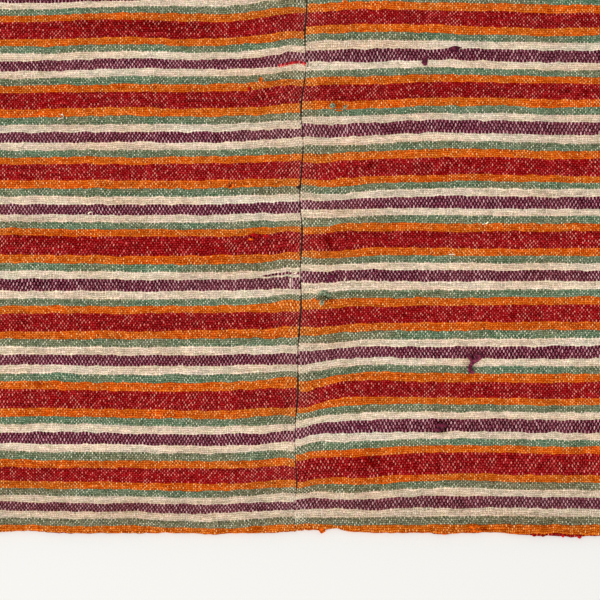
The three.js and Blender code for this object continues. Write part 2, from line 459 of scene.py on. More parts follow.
# Where the middle of the cloth lies, from how far it is along the cloth from the hem's fold.
# Less than nothing is under the fold.
def hemSection(fromFold):
    rest = cloth["thickness"] / 2
    radius = (cloth["thickness"] + cloth["layerGap"]) / 2
    centre = radius + rest
    quarter = math.pi * radius / 2
    angle = np.clip(fromFold / radius, -math.pi / 2, math.pi / 2)
    inward = centre - radius * np.cos(angle)
    lift = rest + radius * (1 + np.sin(angle))
    inward = inward + np.maximum(abs(fromFold) - quarter, 0)
    share = np.clip((inward - cloth["hemDepth"] - cloth["slopeMargin"]) / cloth["hemSlope"], 0, 1)
    fall = 2 * radius * share * share * (3 - 2 * share)
    return inward, np.where(fromFold > 0, lift - fall, lift)


# The height up the cloth of every pick, before its ends are turned under
def pickHeights(panel, picks, across):
    chance = random.Random(panel["seed"])
    firstPick, lastPick = -repeatPicks, (len(redStripes) + 1) * repeatPicks
    depths = stripeDepths["left" if panel["side"] < 0 else "right"]
    steps = []
    for repeat in range(-1, len(redStripes) + 1):
        for name in stripeOrder:
            pitch = yarns[name]["pitch"] * (1 + chance.uniform(-0.08, 0.08))
            number = repeat + (name == "red")
            if 0 <= number < len(depths.get(name, [])):
                pitch = depths[name][number] / yarns[name]["picks"]
            for pick in range(yarns[name]["picks"]):
                steps.append(pitch * (1 + chance.uniform(-0.05, 0.05)))
    travel = np.concatenate([[0.0], np.cumsum(steps)])
    whole = np.arange(firstPick, lastPick + 1)
    places = [stripePlaces[name] for name in panel["places"]]
    reds = np.array([curveThrough(places, [row[name] for name in panel["places"]], across) for row in redStripes])
    side = "left" if panel["side"] < 0 else "right"
    nearSeam = np.exp(-abs(across) / purpleShifts["reach"])
    shifts = np.array(purpleShifts[side])[:, None] + np.array(purpleShifts[side + "Seam"])[:, None] * nearSeam
    known = np.empty((2 * len(redStripes) - 1, len(across)))
    known[0::2] = reds
    known[1::2] = (reds[:-1] + reds[1:]) / 2 + shifts
    knownPicks = picksToRed - repeatPicks + repeatPicks // 2 * np.arange(len(known))
    knownTravel = np.interp(knownPicks, whole, travel)
    pickTravel = np.interp(picks, whole, travel)
    band = np.clip(np.searchsorted(knownTravel, pickTravel) - 1, 0, len(known) - 2)
    share = (pickTravel - knownTravel[band]) / (knownTravel[band + 1] - knownTravel[band])
    heights = known[band] + share[:, None] * (known[band + 1] - known[band])
    wobble = 0.4 * softNoise(across[None, :], heights, 23, 10, panel["seed"])
    wobble = wobble + 0.3 * softNoise(across[None, :], heights, 8, 5, panel["seed"] + 1)
    for swelling in swellings:
        beside = (across[None, :] - swelling["across"]) / (swelling["wide"] / 2)
        above = (heights - swelling["up"]) / (swelling["tall"] / 2)
        wobble = wobble + swelling["spread"] * above * np.exp(-above * above - beside * beside)
    for row in edgeShifts:
        if row["across"] * panel["side"] < 0:
            continue
        beside = (across - row["across"]) / row["reach"]
        for edge, up in row["ups"].items():
            fromEdge = abs(picks - row["repeat"] * repeatPicks - edge) / 4
            wobble = wobble + up * np.clip(1 - fromEdge, 0, 1)[:, None] * np.exp(-beside * beside)[None, :]
    return heights + wobble


def toFrame(across, up, lift):
    return np.stack([(across - originAcross), (up - originUp), lift], axis=-1) * mm


# The face of the cloth at a place across and up, for what lies on it
def faceAt(across, up):
    fold = readTable(lowerHem, "across", "up", across)
    lift = hemSection(np.maximum(up - fold, 0))[1]
    return float(lift + reliefAt(np.asarray(across, float), np.asarray(up, float)) + cloth["thickness"] / 2)


panelMesh = {
    "edgeColumns": [0, 0.25, 0.6, 1.1, 1.8, 2.8],  # close columns round a selvedge
    "columnStep": 2.2,
    "foldStep": 1 / 3,  # picks between rows round a fold
    "firstPick": -8,
    "foldPicks": 7,
    "selvedgeThin": 0.35,  # the share of its thickness that a selvedge keeps at its edge
    "selvedgeRound": 1.1,
    "turnBump": 0.14,  # how far each second weft turn stands out of a selvedge
    "bulges": {"white": 0.14, "green": 0.04, "purple": 0.04, "red": -0.06, "orange": -0.04},
}


def panelColumns():
    width, edge = cloth["panelWidth"], panelMesh["edgeColumns"]
    count = round((width - 2 * edge[-1]) / panelMesh["columnStep"])
    middle = list(np.linspace(edge[-1], width - edge[-1], count + 1))
    return np.array(edge[:-1] + middle + [width - place for place in reversed(edge[:-1])])


def panelRows():
    first, fold, step = panelMesh["firstPick"], panelMesh["foldPicks"], panelMesh["foldStep"]
    last = (len(redStripes) - 1) * repeatPicks - yarns["red"]["picks"] - first
    low = np.arange(-fold, fold + step / 2, step)
    high = np.arange(last + first - fold, last + first + fold + step / 2, step)
    return np.unique(np.round(np.concatenate([np.arange(first, last + 1), low, high]), 6))


# Thicker yarns turn wider at a selvedge: how far, by the pick within a repeat
def yarnBulges():
    places, bulges, start = [], [], 0
    for yarn in stripeOrder:
        places += [start + 0.5, start + yarns[yarn]["picks"] - 0.5]
        bulges += [panelMesh["bulges"].get(yarn, 0.0)] * 2
        start += yarns[yarn]["picks"]
    return places, bulges


def makePanel(name):
    panel = panels[name]
    fromSeam, picks = panelColumns(), panelRows()
    if panel["side"] < 0:
        fromSeam = fromSeam[::-1]
    deselectAll()
    bpy.ops.mesh.primitive_grid_add(x_subdivisions=len(fromSeam) - 1, y_subdivisions=len(picks) - 1, size=2)
    piece = bpy.context.object
    piece.name = name + "Panel"
    mesh = piece.data
    raw = np.empty(len(mesh.vertices) * 3)
    mesh.vertices.foreach_get("co", raw)
    raw = raw.reshape(-1, 3)
    column = np.rint((raw[:, 0] + 1) / 2 * (len(fromSeam) - 1)).astype(int)
    row = np.rint((raw[:, 1] + 1) / 2 * (len(picks) - 1)).astype(int)

    # flat first: each pick at its own height, each warp end between seam and outer selvedge
    straight = panel["side"] * fromSeam
    up = pickHeights(panel, picks, straight)
    share = fromSeam[None, :] / cloth["panelWidth"]
    seam = readTable(seamLine, "up", "across", up) + panel["side"] * readTable(seamLine, "up", "gap", up) / 2
    inset = readTable(outerEdge, "up", name, up)
    outer = panel["side"] * (cloth["panelWidth"] - inset)
    turns = panelMesh["turnBump"] * np.cos(np.pi * picks) + np.interp(picks % repeatPicks, *yarnBulges())
    turns = turns[:, None] * (np.exp(-fromSeam / 0.7) - np.exp((fromSeam - cloth["panelWidth"]) / 0.7))[None, :]
    across = seam + (outer - seam) * share - panel["side"] * turns

    # then bent: the two hems turned under, the rest lying in its cockling
    lower = readTable(lowerHem, "across", "up", across)
    lower = lower + 0.2 * softNoise(across, 0 * across, 3.6, 1, 5) + 0.26 * softNoise(across, 0 * across, 1.5, 1, 6)
    upper = cloth["length"] - readTable(upperHem, "across", "below", across)
    upper = upper - 0.22 * softNoise(across, 0 * across, 2.6, 1, 7)
    lowIn, lowLift = hemSection(up - lower)
    highIn, highLift = hemSection(upper - up)
    nearLow = up < cloth["length"] / 2
    upNow = np.where(nearLow, lower + lowIn, upper - highIn)
    lift = np.where(nearLow, lowLift, highLift)
    places = toFrame(across, upNow, lift + reliefAt(across, upNow))
    mesh.vertices.foreach_set("co", places[row, column].ravel())

    # the weave's own coordinates: warp ends from the seam, picks up from the lower hem
    mesh.uv_layers[0].name = "weave"
    corner = np.empty(len(mesh.loops), int)
    mesh.loops.foreach_get("vertex_index", corner)
    ends = fromSeam / cloth["panelWidth"] * panel["ends"]
    weave = np.stack([ends[column[corner]], picks[row[corner]]], axis=1)
    mesh.uv_layers["weave"].data.foreach_set("uv", weave.ravel())

    # the selvedges thin out to their round edges
    body = piece.vertex_groups.new(name="body")
    edge = np.minimum(fromSeam, cloth["panelWidth"] - fromSeam)
    inEdge = np.clip(edge / panelMesh["selvedgeRound"], 0, 1)
    weight = np.sqrt(1 - (1 - inEdge) ** 2)
    for place in range(len(fromSeam)):
        body.add(np.nonzero(column == place)[0].tolist(), float(weight[place]), "REPLACE")
    thick = piece.modifiers.new("thickness", "SOLIDIFY")
    thick.thickness = cloth["thickness"] * mm
    thick.offset = 0
    thick.use_even_offset = True
    thick.vertex_group = "body"
    thick.thickness_vertex_group = panelMesh["selvedgeThin"]
    makeActive(piece)
    bpy.ops.object.modifier_apply(modifier=thick.name)
    bpy.ops.object.shade_smooth()
    mesh.materials.clear()
    mesh.materials.append(weaveFinish(name))
    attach(piece, "root")
    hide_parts(panel["node"])
    print(piece.name, len(mesh.polygons), "faces")
    return piece


# How the yarns lie over each other. The warp shows as pale dots between the weft's floats.
# Lightness here is in the eye's own steps, from 0 to 1
weave = {
    "weftRise": 0.3,
    "weftRound": 2.0,
    "dotWidth": 10.5,  # how fast a dot falls off to its sides
    "dotTilt": 0.5,
    "dotSize": -0.1,
    "dotUneven": 0.75,
    "patchUneven": 0.5,
    "dotEdge": 4.6,
    "faint": 0.36,  # how clear the dullest dot is, and how much clearer the brightest
    "clear": 1.1,
    "steady": 0.8,
    # how dark the painted shade in the furrows between yarns is, and the painted shadow in the pits beside the raised
    # dots
    "furrowShade": 0.14,
    "pitShadow": 0.21,
    "fibres": 0.56,
    "floats": 0.13,
    "heather": 0.05,
    "warmth": (0.0, 0.16, 0.26),  # how far green and blue swing from stripe to stripe
    "nearSeam": 0.5,
    # soft patches, part dirt and part painted shade of soft folds; the hem's soiling, which the fold's outer edge gets
    # back as painted light
    "dirtAndFoldShade": [0.965, 1.03],
    "soilAndPaintedLight": 0.055,
    "hemDots": 0.22,
}
splitPick = {"panel": "left", "repeat": 3, "pick": 17, "takes": -2, "ends": 21}  # a purple pick amid the white
brightEnds = {"left": [37, 61], "right": [4, 68, 81]}  # warp ends that show brighter than the rest

# Places where the weft is rubbed through to the warp
wornSpots = [
    {"across": -5.0, "up": 22.5, "wide": 4.5, "tall": 4.0, "strength": 1.0},
    {"across": -2.0, "up": 11.0, "wide": 4.0, "tall": 6.5, "strength": 0.8},
    {"across": 1.0, "up": 11.5, "wide": 5.0, "tall": 7.0, "strength": 0.8},
    {"across": -4.4, "up": 141.4, "wide": 3.5, "tall": 4.5, "strength": 0.8},
    {"across": 26.0, "up": 227.0, "wide": 3.0, "tall": 3.0, "strength": 0.8},
]

# Darker places: some from handling and from the dye, and some painted shadows round the tufts, loops, slubs and loose
# ends that lie on the cloth
stainsAndShadows = [
    {"across": 40.0, "up": 42.5, "wide": 11, "tall": 7, "strength": 0.1},
    {"across": 15.6, "up": 145.3, "wide": 8, "tall": 6, "strength": 0.1},
    {"across": 40.0, "up": 207.5, "wide": 7, "tall": 6, "strength": 0.08},
    {"across": 14.0, "up": 166.0, "wide": 7, "tall": 6, "strength": 0.08},
    {"across": 43.0, "up": 167.0, "wide": 7, "tall": 6, "strength": 0.07},
    {"across": 150.0, "up": 249.2, "wide": 6, "tall": 5, "strength": 0.07},
    {"across": -47.0, "up": 224.0, "wide": 6, "tall": 5, "strength": 0.07},
    {"across": -150.0, "up": 166.0, "wide": 90, "tall": 7, "strength": 0.04},
    {"across": -90.0, "up": 285.0, "wide": 110, "tall": 8, "strength": 0.05},
    {"across": -147.0, "up": 85.0, "wide": 7, "tall": 6, "strength": 0.07},
    {"across": 77.5, "up": 62.0, "wide": 12, "tall": 9, "strength": 0.1},
    {"across": 95.0, "up": 98.5, "wide": 10, "tall": 8, "strength": 0.1},
    {"across": 91.7, "up": 95.3, "wide": 6, "tall": 8, "strength": 0.08},
    {"across": 13.6, "up": 133.4, "wide": 4, "tall": 3, "strength": 0.05},
    {"across": 18.1, "up": 240.5, "wide": 3, "tall": 3, "strength": 0.14},
    {"across": 77.5, "up": 61.6, "wide": 9, "tall": 6, "strength": 0.1},
    {"across": 14.0, "up": 133.6, "wide": 12, "tall": 9, "strength": 0.13},
    {"across": 19.0, "up": 241.5, "wide": 12, "tall": 8, "strength": 0.09},
    {"across": -38.6, "up": 196.4, "wide": 5, "tall": 5, "strength": 0.16},
    {"across": 16.1, "up": 162.0, "wide": 5, "tall": 10, "strength": 0.1},
    {"across": 97.5, "up": 6.0, "wide": 12, "tall": 6, "strength": 0.12},
    {"across": -25.0, "up": 168.0, "wide": 9, "tall": 6, "strength": 0.09},
    {"across": 66.0, "up": 279.0, "wide": 20, "tall": 9, "strength": 0.05},
]


# A stripe's colour at each step of the repeat, with a second value in place of its alpha
def yarnStops(key, extra="", usual=1.0):
    stops, start = [], 0
    for yarn in stripeOrder:
        colour = [value / 255 for value in yarns[yarn][key]]
        stops.append((start / repeatPicks, (*colour, yarns[yarn].get(extra, usual))))
        start += yarns[yarn]["picks"]
    return stops


# How strong a list of soft round spots is over the weave
def spotsOn(name, spots, end, pick):
    panel = panels[name]
    picks = panelRows()
    total = 0.0
    for spot in spots:
        across = spot["across"]
        perEnd = panel["ends"] / cloth["panelWidth"]
        middleEnd = panel["side"] * (across - float(readTable(seamLine, "up", "across", spot["up"]))) * perEnd
        if middleEnd < 0:
            continue
        heights = pickHeights(panel, picks, np.array([across]))[:, 0]
        middlePick = float(np.interp(spot["up"], heights, picks))
        perPick = repeatPicks / 40.5
        fromEnd = (end - middleEnd) / (spot["wide"] / 2 * perEnd)
        fromPick = (pick - middlePick) / (spot["tall"] / 2 * perPick)
        inside = (1 - fromEnd * fromEnd - fromPick * fromPick).maths("MAXIMUM", 0.0)
        total = inside * spot["strength"] + total
    return total


def weaveFinish(name):
    finish = Finish(panels[name]["slot"])
    weaveMap = finish.add("UVMap", {"uv_map": "weave"})
    end = finish.add("SeparateXYZ", None, {0: weaveMap}, output=0)
    pick = finish.add("SeparateXYZ", None, {0: weaveMap}, output=1)
    seed = panels[name]["seed"] * 7.0
    worn = spotsOn(name, wornSpots, end, pick)
    # darker spots: stains, and painted shadows round what lies on the cloth
    stainedAndShadowed = spotsOn(name, stainsAndShadows, end, pick)

    # yarns wander a little from their places
    wander = finish.noise(finish.pair(end * 0.11 + seed, pick * 0.09), 2.0)
    waver = finish.noise(finish.pair(end * 0.17, pick * 0.12 + seed), 1.0)
    end = end + (wander - 0.5) * 0.9
    pick = pick + (waver - 0.5) * 1.2
    across = end.maths("FLOOR")
    inEnd = end - across - 0.5
    row = pick.maths("FLOOR")
    inRow = pick - row - 0.5

    # which weft yarn is on top: its own row's, or the one beside it
    weftWave = ((end + row - 0.5) * math.pi).maths("COSINE")
    own = weftWave * weave["weftRise"] - inRow * inRow * weave["weftRound"]
    aside = 1 - inRow.maths("ABSOLUTE")
    beside = weftWave * -weave["weftRise"] - aside * aside * weave["weftRound"]
    weftTop = own.maths("MAXIMUM", beside)
    shown = row + (beside > own) * inRow.maths("SIGN")

    # the weft's colour goes by the pick, but one purple pick has split off into the white
    turn = shown + 0.5
    if name == splitPick["panel"]:
        fromSplit = shown - (splitPick["repeat"] * repeatPicks + splitPick["pick"])
        split = (fromSplit.maths("ABSOLUTE") < 0.5) * (end < splitPick["ends"])
        turn = split * splitPick["takes"] + turn
    turn = (turn / repeatPicks).maths("FRACT")
    weft, steady = finish.add("ValToRGB", {"stops": yarnStops("colour", "steady", 0.0)}, {0: turn}, second=1)
    warp, tall = finish.add("ValToRGB", {"stops": yarnStops("dot", "tall", 0.5)}, {0: turn}, second=1)
    faded, grainAndShade = finish.add("ValToRGB", {"stops": yarnStops("faded", "grainAndShade")}, {0: turn}, second=1)
    hemFold = finish.between(pick, 3.2, 4.8, 1.0, 0.0)
    wear = finish.noise(finish.pair(end * 0.02 + seed, pick * 0.06), 3.0)
    wear = finish.between(wear, 0.3, 0.7, 0.13, 0.77) + (end * -0.05).maths("EXPONENT") * 0.6
    wear = wear + finish.between(pick, 8.0, 34.0, 0.8, 0.0)
    weft = finish.mix(wear.maths("MINIMUM", 1.0), weft, faded)

    # a warp end shows as a pale dot wherever it passes over
    cell = finish.chance(finish.pair(across + seed, row))
    endTone = finish.chance(finish.pair(across, seed))
    patch = finish.noise(finish.pair(end * 0.06 + seed, pick * 0.08), 2.0)
    lean = finish.noise(finish.pair(end * 0.05, pick * 0.07 + seed), 1.0) - 0.5
    nearSeam = (end * -0.16).maths("EXPONENT") * weave["nearSeam"] + worn
    warpWave = ((pick + across - 0.5) * math.pi).maths("COSINE") * -1.0
    leaned = inEnd + inRow * lean * (2 * weave["dotTilt"])
    place = warpWave - leaned * leaned * weave["dotWidth"] + tall - 0.5 + weave["dotSize"]
    dotTop = place + (cell - 0.5) * weave["dotUneven"] + (patch - 0.5) * weave["patchUneven"] + nearSeam
    dotTop = dotTop - hemFold * weave["hemDots"]
    dot = (dotTop * weave["dotEdge"] + 0.2).maths("ADD", 0.0, clamp=True)
    chance = cell * 0.8 + endTone * 0.2
    for number in brightEnds[name]:
        chance = chance + ((across - number).maths("ABSOLUTE") < 0.5) * 0.4
    bright = chance * chance * chance * weave["clear"] + weave["faint"]
    bright = bright + (weave["steady"] - bright) * steady
    bright = (bright + nearSeam * 0.5).maths("MINIMUM", 1.0)

    # each pick has its own depth of colour, and thick and thin places along it
    streak = finish.noise(finish.pair(end * 0.13, shown * 2.7 + seed), 2.0)
    spin = finish.chance(finish.pair(shown + seed, 3.0))
    depth = finish.between(streak, 0.25, 0.75, 0.94, 1.06) * finish.between(spin, 0.0, 1.0, 0.96, 1.04)
    floats = finish.pair(((end + row) * 0.5).maths("FLOOR") + seed, shown)
    floatTone, heather = finish.add("TexWhiteNoise", {"noise_dimensions": "2D"}, {"Vector": floats}, second=1)
    even, uneven = (1 - weave["heather"] / 2,) * 3, (weave["heather"],) * 3
    heather = finish.add("VectorMath", {"operation": "MULTIPLY_ADD"}, {0: heather, 1: uneven, 2: even})
    warmth = finish.noise(finish.pair(end * 0.014 + seed, pick * 0.11), 2.0)
    coolest = tuple(1 - value / 2 for value in weave["warmth"])
    warmth = finish.add("VectorMath", {"operation": "MULTIPLY_ADD"}, {0: warmth, 1: weave["warmth"], 2: coolest})
    weft = finish.shade(finish.blend("MULTIPLY", finish.blend("MULTIPLY", weft, warmth), heather), depth)
    colour = finish.mix(dot * bright, weft, warp)

    # painted shade in the furrows between the yarns, painted shadow in the pits beside the raised dots, and the fibres'
    # own light and dark
    furrowShade = (1 - finish.between(weftTop, -0.5, 0.3, 0.0, 1.0)) * (1 - dot) * weave["furrowShade"]
    pitShadow = (1 - (dotTop + 0.45).maths("ABSOLUTE") * 1.6).maths("MAXIMUM", 0.0) * weave["pitShadow"]
    fibres = finish.noise(finish.pair(end * 1.9 + seed, pick * 2.1), 1.0)
    light = (fibres - 0.5) * weave["fibres"] + (floatTone - 0.5) * (1 - dot) * weave["floats"]
    colour = finish.blend("ADD", colour, (light - furrowShade - pitShadow) * grainAndShade - stainedAndShadowed)

    # soft patches, partly dirt and partly painted shade of soft folds; the hem a little soiled, all but its fold's
    # outer edge, which is left lighter as painted light against the shade of the roll
    dirtAndFoldShade = finish.noise(finish.pair(end * 0.07 + seed, pick * 0.05 + seed), 3.0)
    soilAndPaintedLight = finish.between(dirtAndFoldShade, 0.3, 0.7, *weave["dirtAndFoldShade"]) - finish.between(pick, 10.0, 34.0, weave["soilAndPaintedLight"], 0.0)
    colour = finish.shade(colour, soilAndPaintedLight + hemFold * weave["soilAndPaintedLight"])
    colour = finish.add("Gamma", None, {0: finish.blend("MAXIMUM", colour, (0.0, 0.0, 0.0)), 1: 2.2})
    finish.surface(colour, weftTop.maths("MAXIMUM", dotTop * 0.6), 0.92, {"strength": 0.5, "depth": 0.3}, 0.0)
    return finish.material


print("cloth")
leftPanel = makePanel("left")
rightPanel = makePanel("right")


# Spun wool seen close: uneven colour, fine fibres and a soft surface
def yarnFinish(name, colour, dark):
    finish = Finish(name)
    place = finish.add("TexCoord", None, None, output=3)
    fibres = finish.add("TexNoise", None, {"Vector": place, "Scale": 1700.0, "Detail": 2.0})
    lumps = finish.add("TexNoise", None, {"Vector": place, "Scale": 600.0, "Detail": 1.0})
    tone = finish.between(fibres, 0.35, 0.65, dark, 1.45) * finish.between(lumps, 0.35, 0.65, 0.5, 1.4)
    finish.surface(finish.shade(colour, tone), fibres, 0.95, {"strength": 0.6, "depth": 0.15}, 0.05)
    return finish.material


# Yarns along routes given across, up, above the surface and as their own radius, all in mm
def layYarns(name, routes, finish, closeness=4, sides=3):
    curve = bpy.data.curves.new(name, "CURVE")
    curve.dimensions = "3D"
    curve.bevel_depth = mm
    curve.bevel_resolution = sides
    curve.resolution_u = closeness
    curve.use_fill_caps = True
    for route in routes:
        spline = curve.splines.new("NURBS")
        spline.points.add(len(route) - 1)
        spline.order_u = min(4, len(route))
        spline.use_endpoint_u = True
        for point, (across, up, lift, radius) in zip(spline.points, route):
            point.co = (*toFrame(across, up, lift), 1.0)
            point.radius = radius
    piece = bpy.data.objects.new(name, curve)
    bpy.context.collection.objects.link(piece)
    makeActive(piece)
    bpy.ops.object.convert(target="MESH")
    piece = bpy.context.object
    bpy.ops.object.shade_smooth()
    piece.data.materials.clear()
    piece.data.materials.append(finish)
    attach(piece, "root")
    print(piece.name, len(piece.data.polygons), "faces")
    return piece


# Dark brown thread sews the two selvedges together, edge to edge; its core lies all along the groove, and its dark
# stands in for the shade deep in the groove as well as for the thread
seamThread = {
    "colour": linear(60, 38, 32),
    "lowest": 8,
    "highest": 353,
    "step": 1.9,
    "sunk": 0.62,  # how far the thread lies below the face
    "plug": 0.3,  # how much wider than the gap the thread lies
    "bob": 0.22,  # and how much that varies
    "deeper": {"white": 0.24, "green": 0.12, "purple": 0.06},  # it sinks between the softer yarns,
    "thinner": {"white": 0.1, "green": 0.5, "purple": 0.6},  # and is pulled thin there
    "deepBelow": 32,  # it sinks out of sight near the lower hem
    "wander": 0.32,
    "stitchEvery": 4.6,
    "stitchReach": 0.75,
    "stitchRise": 1.3,
    "stitchRadius": 0.1,
    "knot": {"across": -1.0, "up": 195.1, "wide": 1.7, "tall": 1.4, "radius": 0.22},
}

# The thread's hooked end, standing out of the seam
seamHook = [
    {"across": 2.9, "up": 266.0, "lift": 1.2, "radius": 0.2},
    {"across": 3.9, "up": 264.8, "lift": 2.6, "radius": 0.22},
    {"across": 4.7, "up": 263.6, "lift": 2.8, "radius": 0.22},
    {"across": 4.4, "up": 262.2, "lift": 2.8, "radius": 0.2},
    {"across": 3.6, "up": 261.3, "lift": 2.6, "radius": 0.16},
]


# Which yarn a pick is made of
def yarnAt(pick):
    start = 0
    for yarn in stripeOrder:
        start += yarns[yarn]["picks"]
        if pick % repeatPicks < start:
            return yarn


def sewSeam():
    seam = seamThread
    chance = random.Random(8)
    picks = panelRows()
    heights = pickHeights(panels["left"], picks, np.array([stripePlaces["leftSeam"]]))[:, 0]
    # the core: dark thread all along the groove, standing in also for the shade deep in it
    threadAndShadeCore = []
    for up in np.arange(seam["lowest"], seam["highest"], seam["step"]):
        across = float(readTable(seamLine, "up", "across", up))
        yarn = yarnAt(float(np.interp(up, heights, picks)))
        plug = seam["plug"] * seam["thinner"].get(yarn, 1.0) * chance.uniform(0.3, 1.6)
        radius = float(readTable(seamLine, "up", "gap", up)) / 2 + plug
        aside = seam["wander"] * chance.uniform(-1, 1)
        sunk = seam["sunk"] + seam["deeper"].get(yarn, 0.0) + seam["bob"] * chance.uniform(-1, 1)
        sunk += 0.5 * min(max((seam["deepBelow"] - up) / 10, 0), 1)
        threadAndShadeCore.append((across + aside, up, faceAt(across, up) - sunk, radius))
    routes = [threadAndShadeCore]
    for up in np.arange(seam["lowest"] + 2, seam["highest"] - 4, seam["stitchEvery"]):
        start = up + chance.uniform(-0.8, 0.8)
        across = float(readTable(seamLine, "up", "across", start))
        reach = seam["stitchReach"] * chance.uniform(0.7, 1.3)
        rise = seam["stitchRise"] * chance.uniform(0.5, 1.4)
        face = faceAt(across, start)
        routes.append([
            (across - reach, start, face - 0.45, seam["stitchRadius"]),
            (across - reach * 0.8, start + rise * 0.1, face - 0.12, seam["stitchRadius"]),
            (across, start + rise / 2, face - 0.22, seam["stitchRadius"]),
            (across + reach * 0.8, start + rise * 0.9, face - 0.12, seam["stitchRadius"]),
            (across + reach, start + rise, face - 0.45, seam["stitchRadius"]),
        ])
    routes.append([(row["across"], row["up"], row["lift"], row["radius"]) for row in seamHook])
    knot = seam["knot"]
    routes.append(tangle(knot["across"], knot["up"], knot["wide"], knot["tall"], knot["radius"], 9, 4))
    return layYarns("seamThread", routes, yarnFinish("seam_thread", seam["colour"], 0.55))


# A small tangle or slub: one yarn looping round and round a place on the cloth
def tangle(across, up, wide, tall, radius, bends, seed):
    chance = random.Random(seed)
    face = faceAt(across, up)
    steps = bends * 3
    turn = chance.uniform(0, 6)
    route = []
    for step in range(steps):
        turn += chance.uniform(1.0, 2.4)
        out = chance.uniform(0.6, 1.8)
        lift = face + radius * chance.uniform(0, 1.8) * (2 - out)
        if step in (0, steps - 1):
            lift = face - radius * 1.5
        place = (across + wide / 2 * out * math.cos(turn), up + tall / 2 * out * math.sin(turn))
        route.append((*place, lift, radius * chance.uniform(0.75, 1.2)))
    return route


# Plies twisted round each other along a route
def twist(route, plies, pitch):
    places = np.array(route)
    along = np.concatenate([[0.0], np.cumsum(np.linalg.norm(np.diff(places[:, :3], axis=0), axis=1))])
    fine = np.arange(0, along[-1], 0.35)
    across, up, lift, radius = [curveThrough(along, places[:, column], fine) for column in range(4)]
    aheadX, aheadY = np.gradient(across), np.gradient(up)
    ahead = np.hypot(aheadX, aheadY) + 1e-6
    routes = []
    for ply in range(plies):
        turn = 2 * np.pi * (fine / pitch + ply / plies)
        beside = 0.5 * radius * np.cos(turn)
        raised = 0.3 * radius * np.sin(turn)
        strand = (across - beside * aheadY / ahead, up + beside * aheadX / ahead, lift + raised, 0.6 * radius)
        routes.append([tuple(map(float, point)) for point in zip(*strand)])
    return routes


# A thick place in a weft yarn: plies that swell and sink back into the cloth
def thickPlace(across, up, wide, tall):
    route = []
    for step in range(9):
        share = step / 8
        swell = math.sin(math.pi * share) ** 0.8
        place = (across + (share - 0.5) * wide, up)
        radius = 0.12 + tall / 2 * swell
        sunk = min(0.55 * radius, cloth["thickness"] - 0.1 - 0.9 * radius)  # it stays off the back
        route.append((*place, faceAt(*place) - sunk, radius))
    return twist(route, 3, 3.4)


# A loose end or loop lying on the cloth, through the places of a short table
def lieOnCloth(rows, radius, height):
    last = len(rows) - 1
    route = []
    for place, row in enumerate(rows):
        tucked = place in (0, last) and row.get("tucked", True)
        lift = faceAt(row["across"], row["up"]) + radius * (-1.2 if tucked else height)
        route.append((row["across"], row["up"], lift, radius * row.get("thick", 1.0)))
    return route


looseEnds = {
    "purple": [
        {"across": 100.6, "up": 103.0, "thick": 1.2},
        {"across": 99.4, "up": 101.0, "thick": 1.6},
        {"across": 97.6, "up": 99.4, "thick": 1.5},
        {"across": 95.8, "up": 98.0, "thick": 1.2},
        {"across": 94.6, "up": 96.4, "thick": 1.0},
        {"across": 94.0, "up": 94.6, "thick": 1.1},
        {"across": 94.6, "up": 92.9, "thick": 1.1},
        {"across": 96.6, "up": 92.2, "thick": 0.7, "tucked": False},
    ],
    # the Y's left arm, in the darker purple: a yarn, whose dark also stands in for the shade beside the loose end
    "purpleArmAndShade": [
        {"across": 92.4, "up": 102.6, "thick": 1.2},
        {"across": 93.8, "up": 101.2, "thick": 1.4},
        {"across": 95.0, "up": 99.6, "thick": 1.3},
        {"across": 95.8, "up": 97.8, "thick": 0.8},
    ],
    "orange": [
        {"across": -40.3, "up": 198.0},
        {"across": -40.3, "up": 196.2},
        {"across": -39.8, "up": 195.0},
        {"across": -38.5, "up": 194.3},
        {"across": -37.2, "up": 195.0},
        {"across": -36.8, "up": 196.4},
        {"across": -37.1, "up": 198.0},
    ],
    "creamCurl": [
        {"across": -133.2, "up": 235.0},
        {"across": -132.0, "up": 235.6},
        {"across": -130.9, "up": 234.9},
        {"across": -131.1, "up": 233.6},
        {"across": -132.6, "up": 233.0},
        {"across": -134.0, "up": 232.7, "tucked": False},
    ],
    "creamHook": [
        {"across": 21.4, "up": 141.9},
        {"across": 22.8, "up": 141.0},
        {"across": 24.2, "up": 141.8},
        {"across": 24.9, "up": 143.6},
        {"across": 25.2, "up": 145.0},
    ],
    "creamBend": [
        {"across": -117.5, "up": 179.9},
        {"across": -117.3, "up": 181.2},
        {"across": -116.1, "up": 181.6},
        {"across": -114.9, "up": 181.2},
    ],
    "creamDash": [
        {"across": 82.3, "up": 157.7},
        {"across": 84.3, "up": 157.8},
        {"across": 86.3, "up": 157.9},
    ],
    "creamFork": [
        {"across": 101.0, "up": 174.3},
        {"across": 102.3, "up": 175.4},
        {"across": 103.3, "up": 174.2},
        {"across": 104.3, "up": 175.9, "tucked": False},
    ],
    "creamBare": [
        {"across": -5.4, "up": 138.8},
        {"across": -5.6, "up": 142.0},
        {"across": -5.3, "up": 145.4},
    ],
    "creamSlant": [
        {"across": -5.2, "up": 146.4},
        {"across": -2.9, "up": 147.0},
        {"across": -0.6, "up": 148.6},
    ],
}

